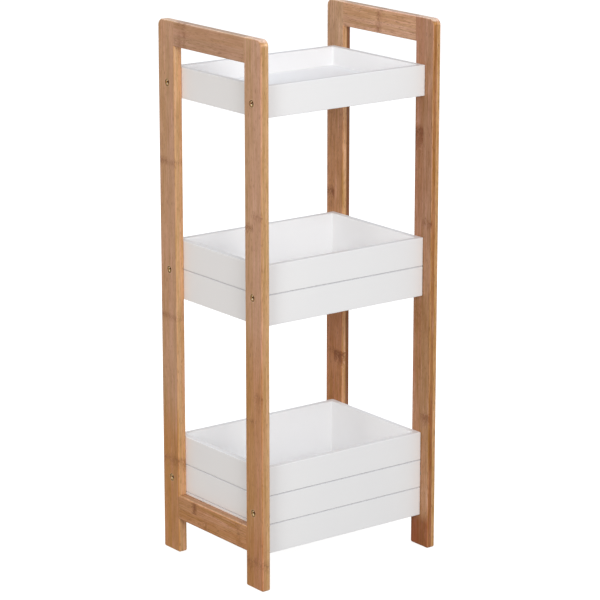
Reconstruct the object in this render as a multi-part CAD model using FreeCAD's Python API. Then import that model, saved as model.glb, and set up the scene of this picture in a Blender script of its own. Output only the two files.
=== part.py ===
import FreeCAD, Part
import math
import os

# Narrow bamboo shelf unit: two flat bamboo frames with three white trays screwed between them.
# Millimetres. +Z is up, +X is to the right and the front looks towards -Y.
# The origin is the middle of the footprint, on the surface that the feet stand on.

# Overall size of the unit
unit_width = 320.0
unit_depth = 250.0
unit_height = 800.0

# Bamboo side frames
frame_thickness = 14.0
post_width = 40.0
handle_rail_height = 36.5
bottom_rail_height = 37.5
leg_height = 52.0
top_corner_round = 10.0
edge_round = 2.2
foot_round_extra = 0.4

# Wooden dowels between the rails and the posts
frame_dowel_diameter = 8.0
frame_dowel_length = 32.0
frame_dowels_per_joint = 2

# White trays between the frames, set back from the frames' front and back edges
tray_setback = 17.5
board_thickness = 9.5
tray_corner_round = 1.6
rim_round = 1.0
strip_height = 43.0
groove_width = 2.4
groove_depth = 1.1

# Floor panel of a tray, let into a slot in its four boards
floor_thickness = 4.0
floor_lift = 12.4
floor_slot_depth = 4.0
floor_slot_clearance = 0.2

# Each tray: its own height and how many V-grooves it has
upper_tray_height = 45.0
upper_tray_groove_count = 0
middle_bin_height = 88.0
middle_bin_groove_count = 1
lower_bin_height = 129.5
lower_bin_groove_count = 2

# Places of the trays: the upper one below the top, the lower one above the ground, the middle one midway
upper_tray_drop = 68.0
lower_bin_lift = 49.0

# Wooden dowels in the corner joints of the trays: how many above and below the screw
tray_dowel_diameter = 5.0
tray_dowel_length = 25.0
tray_dowel_seat_share = 0.68
upper_tray_dowel_count_above = 1
upper_tray_dowel_count_below = 0
middle_bin_dowel_count_above = 1
middle_bin_dowel_count_below = 1
lower_bin_dowel_count_above = 2
lower_bin_dowel_count_below = 1

# All dowels: glue room round them and past their ends, and their chamfered ends
dowel_glue_gap = 0.05
dowel_end_room = 0.5
dowel_chamfer = 0.6

# Countersunk screws with a cross recess
screw_diameter = 4.5
screw_length = 40.0
screw_tip_length = 5.0
screw_tip_diameter = 1.0
screw_head_diameter = 9.5
screw_head_rim = 0.4
screw_head_sink = 0.3
recess_arm_length = 5.6
recess_arm_width = 1.5
recess_depth = 2.2
recess_taper_share = 0.45
recess_turn_degrees = 37.0
screw_hole_clearance = 0.2
screw_pilot_clearance = 0.02

# One overrun for every tool that cuts right through a face
cut_overrun = 1.0

# Sizes that follow from the ones above
half_width = unit_width / 2
half_depth = unit_depth / 2
frame_inner_x = half_width - frame_thickness
post_inner_y = half_depth - post_width
handle_rail_base = unit_height - handle_rail_height
bottom_rail_top = leg_height + bottom_rail_height
foot_round = edge_round + foot_round_extra
tray_half_width = frame_inner_x
tray_half_depth = half_depth - tray_setback
tray_inner_x = tray_half_width - board_thickness
tray_inner_y = tray_half_depth - board_thickness
screw_y = tray_half_depth - board_thickness / 2
upper_tray_base = unit_height - upper_tray_drop - upper_tray_height
lower_bin_rim = lower_bin_lift + lower_bin_height
middle_bin_base = (lower_bin_rim + upper_tray_base - middle_bin_height) / 2


class Tray:
    """One tray: its name, its lower edge, its height, and its grooves and corner dowels."""

    def __init__(self, name, base, height, groove_count, dowel_counts):
        self.name = name
        self.base = base
        self.groove_count = groove_count
        self.dowel_counts = dowel_counts
        self.rim = base + height
        self.screw_z = base + height / 2
        self.floor_base = base + floor_lift
        self.floor_top = self.floor_base + floor_thickness

    def groove_heights(self):
        """Heights of the V-grooves, one strip apart, counted down from the rim."""
        return [self.rim - strip_height * count for count in range(1, self.groove_count + 1)]

    def dowel_heights(self):
        """Heights of the corner dowels, spread evenly above and below the screw."""
        above, below = self.dowel_counts
        upper_step = (self.rim - self.screw_z) / (above + 1)
        lower_step = (self.screw_z - self.floor_top) / (below + 1)
        upper = [self.screw_z + upper_step * count for count in range(1, above + 1)]
        lower = [self.screw_z - lower_step * count for count in range(1, below + 1)]
        return upper + lower


trays = (
    Tray("upper_tray", upper_tray_base, upper_tray_height, upper_tray_groove_count,
         (upper_tray_dowel_count_above, upper_tray_dowel_count_below)),
    Tray("middle_bin", middle_bin_base, middle_bin_height, middle_bin_groove_count,
         (middle_bin_dowel_count_above, middle_bin_dowel_count_below)),
    Tray("lower_bin", lower_bin_lift, lower_bin_height, lower_bin_groove_count,
         (lower_bin_dowel_count_above, lower_bin_dowel_count_below)),
)


along_x = FreeCAD.Vector(1, 0, 0)
along_y = FreeCAD.Vector(0, 1, 0)
along_z = FreeCAD.Vector(0, 0, 1)
quarter_turn = math.degrees(math.pi / 2)


def vector(x, y, z):
    return FreeCAD.Vector(x, y, z)


def box_between(low, high):
    """A box from its lowest corner to its highest one."""
    size = [high[axis] - low[axis] for axis in range(3)]
    return Part.makeBox(size[0], size[1], size[2], vector(*low))


def merged(shape):
    """The shape with split faces joined again, as a bare solid where it is only one."""
    clean = shape.removeSplitter()
    return clean.Solids[0] if len(clean.Solids) == 1 else clean


def face_of_points(points):
    """A flat face inside straight edges through the points."""
    return Part.Face(Part.makePolygon([vector(*point) for point in points + points[:1]]))


# Side frames

def edges_along(shape, direction, wanted):
    """The straight edges of a shape that run along a direction and whose middle passes a test."""
    found = []
    for edge in shape.Edges:
        run = edge.Vertexes[-1].Point - edge.Vertexes[0].Point
        along = abs(run.dot(direction))
        if along > run.cross(direction).Length and wanted(edge.CenterOfMass):
            found.append(edge)
    return found


def edges_of_faces(shape, direction):
    """All edges of the flat faces that look along a direction, either way."""
    edges = []
    for face in shape.Faces:
        normal = face.normalAt(0, 0)
        if normal.cross(direction).Length < abs(normal.dot(direction)):
            edges.extend(face.Edges)
    return edges


def frame_blank(low_x, high_x):
    """A whole side frame before it is divided, with its outline corners and all long edges eased."""
    past_low = low_x - cut_overrun
    past_high = high_x + cut_overrun
    blank = box_between((low_x, -half_depth, 0), (high_x, half_depth, unit_height))
    top_corners = edges_along(blank, along_x, lambda middle: middle.z > handle_rail_base)
    blank = blank.makeFillet(top_corner_round, top_corners)
    window = box_between(
        (past_low, -post_inner_y, bottom_rail_top), (past_high, post_inner_y, handle_rail_base))
    leg_gap = box_between(
        (past_low, -post_inner_y, -cut_overrun), (past_high, post_inner_y, leg_height))
    blank = blank.cut([window, leg_gap])
    foot_corners = edges_along(blank, along_x, lambda middle: middle.z < leg_height / 2)
    blank = blank.makeFillet(foot_round, foot_corners)
    return blank.makeFillet(edge_round, edges_of_faces(blank, along_x))


def dowel(diameter, length, centre):
    """A round wooden pin with chamfered ends, centred on a point and lying along Y."""
    radius = diameter / 2
    tip_radius = radius - dowel_chamfer
    body_length = length - 2 * dowel_chamfer
    body_start = centre - along_y * (body_length / 2)
    body_end = centre + along_y * (body_length / 2)
    body = Part.makeCylinder(radius, body_length, body_start, along_y)
    first_tip = Part.makeCone(radius, tip_radius, dowel_chamfer, body_start, -along_y)
    last_tip = Part.makeCone(radius, tip_radius, dowel_chamfer, body_end, along_y)
    return merged(body.fuse([first_tip, last_tip]))


def dowel_hole(diameter, length, centre):
    """The room for a dowel and its glue, in both of the pieces that it joins."""
    reach = length + 2 * dowel_end_room
    return Part.makeCylinder(diameter / 2 + dowel_glue_gap, reach, centre - along_y * (reach / 2), along_y)


def frame_dowel_centres(middle_x):
    """Centres of the dowels in the four rail joints of one frame."""
    centres = []
    for low, height in ((leg_height, bottom_rail_height), (handle_rail_base, handle_rail_height)):
        for end in (-1, 1):
            for count in range(frame_dowels_per_joint):
                z = low + height * (count + 1 / 2) / frame_dowels_per_joint
                centres.append(vector(middle_x, end * post_inner_y, z))
    return centres


def screw_hole(side, y, z):
    """The countersunk clearance hole through a post, seen from the outer face of its frame."""
    direction = vector(-side, 0, 0)
    mouth = vector(side * half_width, y, z)
    start = mouth - direction * cut_overrun
    bore_radius = screw_diameter / 2 + screw_hole_clearance
    well_radius = screw_head_diameter / 2 + screw_hole_clearance
    well_depth = screw_head_sink + screw_head_rim
    cone_start = mouth + direction * well_depth
    bore = Part.makeCylinder(bore_radius, frame_thickness + 2 * cut_overrun, start, direction)
    well = Part.makeCylinder(well_radius, well_depth + cut_overrun, start, direction)
    cone = Part.makeCone(well_radius, bore_radius, well_radius - bore_radius, cone_start, direction)
    return bore.fuse([well, cone])


def make_frame(prefix, side):
    """The four bamboo pieces and the dowels of one frame. The side is -1 on the left and 1 on the right."""
    low_x, high_x = sorted((side * frame_inner_x, side * half_width))
    blank = frame_blank(low_x, high_x)
    centres = frame_dowel_centres((low_x + high_x) / 2)
    dowel_holes = [dowel_hole(frame_dowel_diameter, frame_dowel_length, centre) for centre in centres]
    pieces = {}
    for end, name in ((-1, "front_post"), (1, "back_post")):
        near, far = sorted((end * post_inner_y, end * half_depth))
        post = blank.common(box_between((low_x, near, 0), (high_x, far, unit_height)))
        screw_holes = [screw_hole(side, end * screw_y, tray.screw_z) for tray in trays]
        pieces[f"{prefix}_{name}"] = merged(post.cut(dowel_holes + screw_holes))
    for low, high, name in (
            (leg_height, bottom_rail_top, "bottom_rail"),
            (handle_rail_base, unit_height, "handle_rail")):
        rail = blank.common(box_between((low_x, -post_inner_y, low), (high_x, post_inner_y, high)))
        pieces[f"{prefix}_{name}"] = merged(rail.cut(dowel_holes))
    pins = [dowel(frame_dowel_diameter, frame_dowel_length, centre) for centre in centres]
    pieces[f"{prefix}_frame_dowels"] = Part.makeCompound(pins)
    return pieces


# Trays

def tray_ring(tray):
    """The four walls of a tray in one ring, with eased corners and rims, before it is divided."""
    low = vector(-tray_half_width, -tray_half_depth, tray.base)
    high = vector(tray_half_width, tray_half_depth, tray.rim)
    ring = box_between(low, high)
    ring = ring.makeFillet(tray_corner_round, edges_along(ring, along_z, lambda middle: True))
    inset = vector(board_thickness, board_thickness, -cut_overrun)
    ring = ring.cut(box_between(low + inset, high - inset))
    return ring.makeFillet(rim_round, edges_of_faces(ring, along_z))


def groove_tools(tray):
    """Triangular bars that cut the V-grooves round the outside of a tray."""
    half_mouth = groove_width / 2
    tools = []
    for height in tray.groove_heights():
        for end in (-1, 1):
            face_x = end * tray_half_width
            face_y = end * tray_half_depth
            front_cut = face_of_points([
                (-tray_half_width, face_y, height - half_mouth),
                (-tray_half_width, face_y, height + half_mouth),
                (-tray_half_width, face_y - end * groove_depth, height)])
            side_cut = face_of_points([
                (face_x, -tray_half_depth, height - half_mouth),
                (face_x, -tray_half_depth, height + half_mouth),
                (face_x - end * groove_depth, -tray_half_depth, height)])
            tools.append(front_cut.extrude(vector(2 * tray_half_width, 0, 0)))
            tools.append(side_cut.extrude(vector(0, 2 * tray_half_depth, 0)))
    return tools


def floor_slot(tray):
    """The slot for the floor panel, open towards the inside of the tray."""
    reach = vector(tray_inner_x + floor_slot_depth, tray_inner_y + floor_slot_depth, 0)
    slot_top = vector(0, 0, tray.floor_top + floor_slot_clearance)
    return box_between(vector(0, 0, tray.floor_base) - reach, slot_top + reach)


def floor_panel(tray):
    """The floor panel, which rests on the lower side of its slot."""
    reach_x = tray_inner_x + floor_slot_depth - floor_slot_clearance
    reach_y = tray_inner_y + floor_slot_depth - floor_slot_clearance
    return box_between((-reach_x, -reach_y, tray.floor_base), (reach_x, reach_y, tray.floor_top))


def tray_dowel_centres(tray):
    """Centres of the dowels in the four corners of a tray."""
    x = tray_half_width - board_thickness / 2
    y = tray_inner_y + board_thickness * tray_dowel_seat_share - tray_dowel_length / 2
    corners = [(side * x, end * y) for side in (-1, 1) for end in (-1, 1)]
    return [vector(*corner, z) for corner in corners for z in tray.dowel_heights()]


def pilot_hole(side, end, z):
    """The hole in the end of a board that a screw's thread fills."""
    start = vector(side * half_width, end * screw_y, z)
    depth = screw_head_sink + screw_length + screw_pilot_clearance
    return Part.makeCylinder(screw_diameter / 2 + screw_pilot_clearance, depth, start, -along_x * side)


def make_tray(tray):
    """The four boards, the floor panel and the corner dowels of one tray."""
    centres = tray_dowel_centres(tray)
    holes = [dowel_hole(tray_dowel_diameter, tray_dowel_length, centre) for centre in centres]
    holes += [pilot_hole(side, end, tray.screw_z) for side in (-1, 1) for end in (-1, 1)]
    ring = tray_ring(tray).cut(groove_tools(tray) + holes + [floor_slot(tray)])
    rooms = {
        "front_board": (-tray_half_width, tray_half_width, -tray_half_depth, -tray_inner_y),
        "back_board": (-tray_half_width, tray_half_width, tray_inner_y, tray_half_depth),
        "left_board": (-tray_half_width, -tray_inner_x, -tray_inner_y, tray_inner_y),
        "right_board": (tray_inner_x, tray_half_width, -tray_inner_y, tray_inner_y),
    }
    pieces = {}
    for name, (low_x, high_x, low_y, high_y) in rooms.items():
        room = box_between((low_x, low_y, tray.base), (high_x, high_y, tray.rim))
        pieces[f"{tray.name}_{name}"] = merged(ring.common(room))
    pieces[f"{tray.name}_floor"] = floor_panel(tray)
    pins = [dowel(tray_dowel_diameter, tray_dowel_length, centre) for centre in centres]
    pieces[f"{tray.name}_dowels"] = Part.makeCompound(pins)
    return pieces


# Screws

def recess_outline(scale_share, z):
    """The outline of one arm of the cross recess at a height, scaled about the screw's axis."""
    x = recess_arm_length / 2 * scale_share
    y = recess_arm_width / 2 * scale_share
    return Part.makePolygon([vector(*point) for point in (
        (-x, -y, z), (x, -y, z), (x, y, z), (-x, y, z), (-x, -y, z))])


def recess_arm(turn_degrees):
    """One arm of the cross recess, narrower at its foot, for a head whose top is at the origin."""
    rise_share = 1 + (1 - recess_taper_share) * cut_overrun / recess_depth
    top = recess_outline(rise_share, cut_overrun)
    foot = recess_outline(recess_taper_share, -recess_depth)
    arm = Part.makeLoft([top, foot], True, True)
    arm.rotate(vector(0, 0, 0), along_z, turn_degrees)
    return arm


def make_screw(turn_degrees):
    """A countersunk screw that points along -Z, with the top of its head at the origin."""
    down = -along_z
    head_radius = screw_head_diameter / 2
    shank_radius = screw_diameter / 2
    cone_height = head_radius - shank_radius
    shank_start = screw_head_rim + cone_height
    tip_start = screw_length - screw_tip_length
    rim = Part.makeCylinder(head_radius, screw_head_rim, vector(0, 0, 0), down)
    cone = Part.makeCone(head_radius, shank_radius, cone_height, down * screw_head_rim, down)
    shank = Part.makeCylinder(shank_radius, tip_start - shank_start, down * shank_start, down)
    tip = Part.makeCone(shank_radius, screw_tip_diameter / 2, screw_tip_length, down * tip_start, down)
    body = merged(rim.fuse([cone, shank, tip]))
    arms = [recess_arm(turn_degrees), recess_arm(turn_degrees + quarter_turn)]
    return merged(body.cut(arms))


def make_screws(tray, first_turn):
    """The four screws of one tray, each through a post into the end of a board, each turned on further."""
    screws = []
    for side in (-1, 1):
        for end in (-1, 1):
            screw = make_screw(recess_turn_degrees * (first_turn + len(screws)))
            screw.rotate(vector(0, 0, 0), along_y, side * quarter_turn)
            screw.translate(vector(side * (half_width - screw_head_sink), end * screw_y, tray.screw_z))
            screws.append(screw)
    return {f"{tray.name}_screws": Part.makeCompound(screws)}


def main():
    os.makedirs("parts", exist_ok=True)
    pieces = {}
    pieces.update(make_frame("left", -1))
    pieces.update(make_frame("right", 1))
    for count, tray in enumerate(trays):
        pieces.update(make_tray(tray))
        pieces.update(make_screws(tray, count))
    for name, shape in pieces.items():
        shape.exportStep(f"parts/{name}.step")
        state = "valid" if shape.isValid() else "not valid"
        print(name, "solids", len(shape.Solids), "volume", round(shape.Volume), state)


main()
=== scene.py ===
"""Looks of a narrow bamboo shelf unit with three white trays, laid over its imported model.

The row frame is in metres: +X to the right, +Y to the back and +Z up, with the origin in the middle
of the footprint. Patterns in the finishes are sized in millimetres.
"""

import logging
import math
from collections.abc import Sequence
from dataclasses import dataclass, replace
from enum import Enum
from typing import Any

import bmesh
import bpy
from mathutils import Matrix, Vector


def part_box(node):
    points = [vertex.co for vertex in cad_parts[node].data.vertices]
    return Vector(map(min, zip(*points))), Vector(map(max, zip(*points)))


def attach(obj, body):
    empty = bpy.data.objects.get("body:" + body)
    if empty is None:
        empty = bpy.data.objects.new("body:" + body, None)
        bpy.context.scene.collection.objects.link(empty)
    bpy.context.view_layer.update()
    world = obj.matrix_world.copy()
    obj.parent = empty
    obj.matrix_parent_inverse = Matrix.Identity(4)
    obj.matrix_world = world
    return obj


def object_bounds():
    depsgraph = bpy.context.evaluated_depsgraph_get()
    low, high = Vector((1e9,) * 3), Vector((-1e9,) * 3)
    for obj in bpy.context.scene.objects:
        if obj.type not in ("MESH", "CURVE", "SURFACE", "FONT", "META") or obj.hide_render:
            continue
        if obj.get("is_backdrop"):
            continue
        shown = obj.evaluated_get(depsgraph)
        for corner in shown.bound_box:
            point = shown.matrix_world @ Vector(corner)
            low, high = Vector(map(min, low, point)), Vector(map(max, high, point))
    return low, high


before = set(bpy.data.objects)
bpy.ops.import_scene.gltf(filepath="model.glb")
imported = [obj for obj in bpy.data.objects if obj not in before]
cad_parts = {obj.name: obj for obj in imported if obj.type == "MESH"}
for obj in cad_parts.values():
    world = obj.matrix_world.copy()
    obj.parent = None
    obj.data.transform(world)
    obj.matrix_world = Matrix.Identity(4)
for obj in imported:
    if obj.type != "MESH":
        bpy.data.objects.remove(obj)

LOG = logging.getLogger("shelf_unit")
BODY = "root"
MM = 0.001
WHITE = "#FFFFFF"
TRAYS = ("upper_tray", "middle_bin", "lower_bin")
HALF = (0.5, 0.5, 0.5)
# Sockets of a Mix node that mixes colours: its two inputs and its output.
FIRST, SECOND, MIXED = 6, 7, 2
Material = bpy.types.Material
Tree = bpy.types.NodeTree
# What an input is linked to: an output socket, or a node for its first output.
Source = bpy.types.Node | bpy.types.NodeSocket


class Grain(Enum):
    """The axis that the fibres of a bamboo piece run along."""

    UPRIGHT = "Z"
    LEVEL = "Y"

    @property
    def across(self) -> str:
        """The axis across the strips on the piece's wide faces."""
        return "Y" if self is Grain.UPRIGHT else "Z"


class Fade(Enum):
    """How a tint comes in between the values where it starts and where it is full."""

    SOFT = "SMOOTHSTEP"
    EVEN = "LINEAR"


class Pick(Enum):
    """Which one of several values is taken."""

    GREATEST = "MAXIMUM"
    LEAST = "MINIMUM"


class Tone(Enum):
    """Mean colour of one ply of bamboo strips under its lacquer, from pale to dark."""

    CREAM = "#F7D1B6"
    STRAW = "#FCCD97"
    PEACH = "#F7C697"
    HONEY = "#FAC08B"
    APRICOT = "#EDBD89"
    BISCUIT = "#F0BB82"
    SAND = "#E7B892"
    AMBER = "#E3B287"
    OAT = "#DEB18D"
    TOFFEE = "#E0A46D"
    ROSE = "#D5A57E"
    CARAMEL = "#DB9A64"
    TAWNY = "#D6996D"
    FAWN = "#CD9360"
    CHESTNUT = "#C58C64"
    RUSSET = "#CB8759"
    RUST = "#C8822E"
    SIENNA = "#BA7023"
    BRICK = "#AE5806"
    UMBER = "#8E5524"


@dataclass(frozen=True)
class Tint:
    """A colour that is mixed in along a pattern, a distance or a direction.

    Attributes:
        colour: Its colour.
        share: How much of it shows where it is full.
        start: The value where it starts to show.
        full: The value where it is full.
        fade: How it comes in between these values.
    """

    colour: str
    share: float = 1.0
    start: float = 0.0
    full: float = 1.0
    fade: Fade = Fade.SOFT


def linear(hex_colour: str) -> tuple[float, float, float, float]:
    """Turn an sRGB hex value into a linear colour.

    Args:
        hex_colour: The value as "#RRGGBB".

    Returns:
        Red, green and blue in linear light, with full alpha.
    """
    parts = [int(hex_colour[start:start + 2], 16) / 255 for start in (1, 3, 5)]
    red, green, blue = (c / 12.92 if c <= 0.04045 else ((c + 0.055) / 1.055) ** 2.4 for c in parts)
    return red, green, blue, 1.0


def add_node(tree: Tree, kind: str, inputs: dict[str | int, Any] | None = None,
             **settings: Any) -> bpy.types.Node:
    """Add a shader node with its settings and links.

    Args:
        tree: The node tree that gets the node.
        kind: The node's type name after "ShaderNode", such as "Math".
        inputs: For each input, by name or number, its value or the output socket that is linked to it.
            A node stands for its first output.
        settings: Properties of the node itself.

    Returns:
        The new node.
    """
    new = tree.nodes.new(f"ShaderNode{kind}")
    for name, value in settings.items():
        setattr(new, name, value)
    for key, value in (inputs or {}).items():
        source = value.outputs[0] if isinstance(value, bpy.types.Node) else value
        if isinstance(source, bpy.types.NodeSocket):
            tree.links.new(source, new.inputs[key])
        else:
            new.inputs[key].default_value = source
    return new


def picked(tree: Tree, pick: Pick, values: Sequence[Source]) -> Source:
    """Find the greatest or the least of several values.

    Args:
        tree: The material's tree.
        pick: Which one is taken.
        values: The values.

    Returns:
        The one that is taken.
    """
    best = values[0]
    for value in values[1:]:
        best = add_node(tree, "Math", {0: best, 1: value}, operation=pick.value)
    return best


def tinted(tree: Tree, colour: Source | tuple[float, ...], value: Source, tint: Tint) -> Source:
    """Mix a tint into a colour.

    Args:
        tree: The tree of the material or the surroundings.
        colour: The colour so far, linked or linear.
        value: What decides where the tint is.
        tint: The tint.

    Returns:
        The new colour.
    """
    weight = add_node(tree, "MapRange", {
        "Value": value, "From Min": tint.start, "From Max": tint.full, "To Max": tint.share},
        interpolation_type=tint.fade.value)
    return add_node(tree, "Mix", {0: weight, FIRST: colour, SECOND: linear(tint.colour)},
                    data_type="RGBA").outputs[MIXED]


def new_material(name: str) -> tuple[Material, Tree]:
    """Make a material with an empty node tree.

    Args:
        name: The material's name.

    Returns:
        The material and its tree.
    """
    material = bpy.data.materials.new(name)
    material.use_nodes = True
    material.node_tree.nodes.clear()
    return material, material.node_tree


def finish_surface(tree: Tree, inputs: dict[str | int, Any]) -> None:
    """Add the surface shader with these inputs and link it to the material's output.

    Args:
        tree: The material's tree.
        inputs: Inputs of the principled shader.
    """
    add_node(tree, "OutputMaterial", {"Surface": add_node(tree, "BsdfPrincipled", inputs)})


def millimetres(tree: Tree) -> Source:
    """Add nodes that give the place on the unit in millimetres.

    Args:
        tree: The material's tree.

    Returns:
        The place.
    """
    place = add_node(tree, "TexCoord").outputs["Object"]
    return add_node(tree, "VectorMath", {0: place, "Scale": 1 / MM}, operation="SCALE")


def dress(node: str, material: Material) -> None:
    """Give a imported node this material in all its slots.

    Args:
        node: The node's name.
        material: Its finish.
    """
    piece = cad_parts[node]
    if not piece.material_slots:
        piece.data.materials.append(material)
    for slot in piece.material_slots:
        slot.material = material


@dataclass(frozen=True)
class CulmNode:
    """A place where the culm's nodes cross the strips of a bamboo piece.

    Attributes:
        along_mm: Its place along the fibres, in the row frame.
        strength: How dark it is, from 0 to 1.
        spread_mm: How far the nodes of single strips lie before or after that place.
        tail_mm: How much further its dark zone runs towards the ground or the front.
        strip: Number of the one strip that it crosses, counted from the front or from below, or None
            where it crosses them all.
    """

    along_mm: float
    strength: float = 0.8
    spread_mm: float = 7.0
    tail_mm: float = 0.0
    strip: int | None = None


@dataclass(frozen=True)
class ToneChange:
    """Where the ply at a post's lower X turns to another tone towards the ground or the top.

    Attributes:
        tone: The other tone of its wide face.
        start_mm: Height where it starts to show.
        full_mm: Height where it has taken over.
        side: The other tone of its narrow faces, or None where a share of the wide face's shows there.
    """

    tone: Tone
    start_mm: float
    full_mm: float
    side: Tone | None = None


@dataclass(frozen=True)
class BambooPiece:
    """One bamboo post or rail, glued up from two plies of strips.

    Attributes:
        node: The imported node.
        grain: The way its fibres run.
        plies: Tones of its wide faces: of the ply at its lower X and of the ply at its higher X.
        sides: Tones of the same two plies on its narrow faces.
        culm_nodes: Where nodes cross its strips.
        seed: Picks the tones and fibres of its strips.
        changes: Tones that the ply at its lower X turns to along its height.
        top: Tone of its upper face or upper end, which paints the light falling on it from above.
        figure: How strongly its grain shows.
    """

    node: str
    grain: Grain
    plies: tuple[Tone, Tone]
    sides: tuple[Tone, Tone]
    culm_nodes: tuple[CulmNode, ...]
    seed: float
    changes: tuple[ToneChange, ...] = ()
    top: Tone = Tone.CREAM
    figure: float = 1.0


@dataclass(frozen=True)
class ScrewSeats:
    """Where the screws' heads sit in the posts' wide faces.

    Attributes:
        radius_mm: Radius of a head.
        away_mm: How far the screws are from the middle plane of the unit, along Y.
        heights_mm: Their heights, one for each tray.
        uneven_mm: How much the rings of painted shade round the heads vary in width.
    """

    radius_mm: float
    away_mm: float
    heights_mm: tuple[float, ...]
    uneven_mm: float = 2.4

    @classmethod
    def of_trays(cls, trays: Sequence[str]) -> "ScrewSeats":
        """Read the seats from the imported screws.

        Args:
            trays: The trays' names.

        Returns:
            The seats of all their screws.
        """
        boxes = [tuple(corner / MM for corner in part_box(f"{tray}_screws")) for tray in trays]
        radius = (boxes[0][1].z - boxes[0][0].z) / 2
        return cls(radius, boxes[0][1].y - radius, tuple((low.z + high.z) / 2 for low, high in boxes))

    def distance(self, tree: Tree, shift: tuple[float, float] = (0.0, 0.0), uneven: float = 0.0) -> Source:
        """Add nodes for the distance to a point by the nearest screw's axis, in millimetres.

        Args:
            tree: The material's tree.
            shift: How far the point is from the axis, towards the back and up.
            uneven: How much noise is added to the distance.

        Returns:
            The distance.
        """
        back, up = shift
        axes = add_node(tree, "SeparateXYZ", {0: millimetres(tree)}).outputs
        side = add_node(tree, "Math", {0: axes["Y"]}, operation="SIGN")
        level = add_node(tree, "Math", {0: side, 1: -self.away_mm, 2: axes["Y"]}, operation="MULTIPLY_ADD")
        level = add_node(tree, "Math", {0: level, 1: back}, operation="SUBTRACT")
        rises = [add_node(tree, "Math", {0: axes["Z"], 1: height + up}, operation="SUBTRACT")
                 for height in self.heights_mm]
        rises = [add_node(tree, "Math", {0: rise}, operation="ABSOLUTE") for rise in rises]
        offset = add_node(tree, "CombineXYZ", {0: level, 1: picked(tree, Pick.LEAST, rises)})
        distance = add_node(tree, "VectorMath", {0: offset}, operation="LENGTH").outputs["Value"]
        noise = add_node(tree, "TexNoise", {
            "Vector": millimetres(tree), "Scale": 1 / self.radius_mm, "Detail": 0.0})
        distance = add_node(tree, "Math", {0: noise, 1: uneven, 2: distance}, operation="MULTIPLY_ADD")
        return add_node(tree, "Math", {0: distance, 1: uneven / 2}, operation="SUBTRACT")


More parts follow.
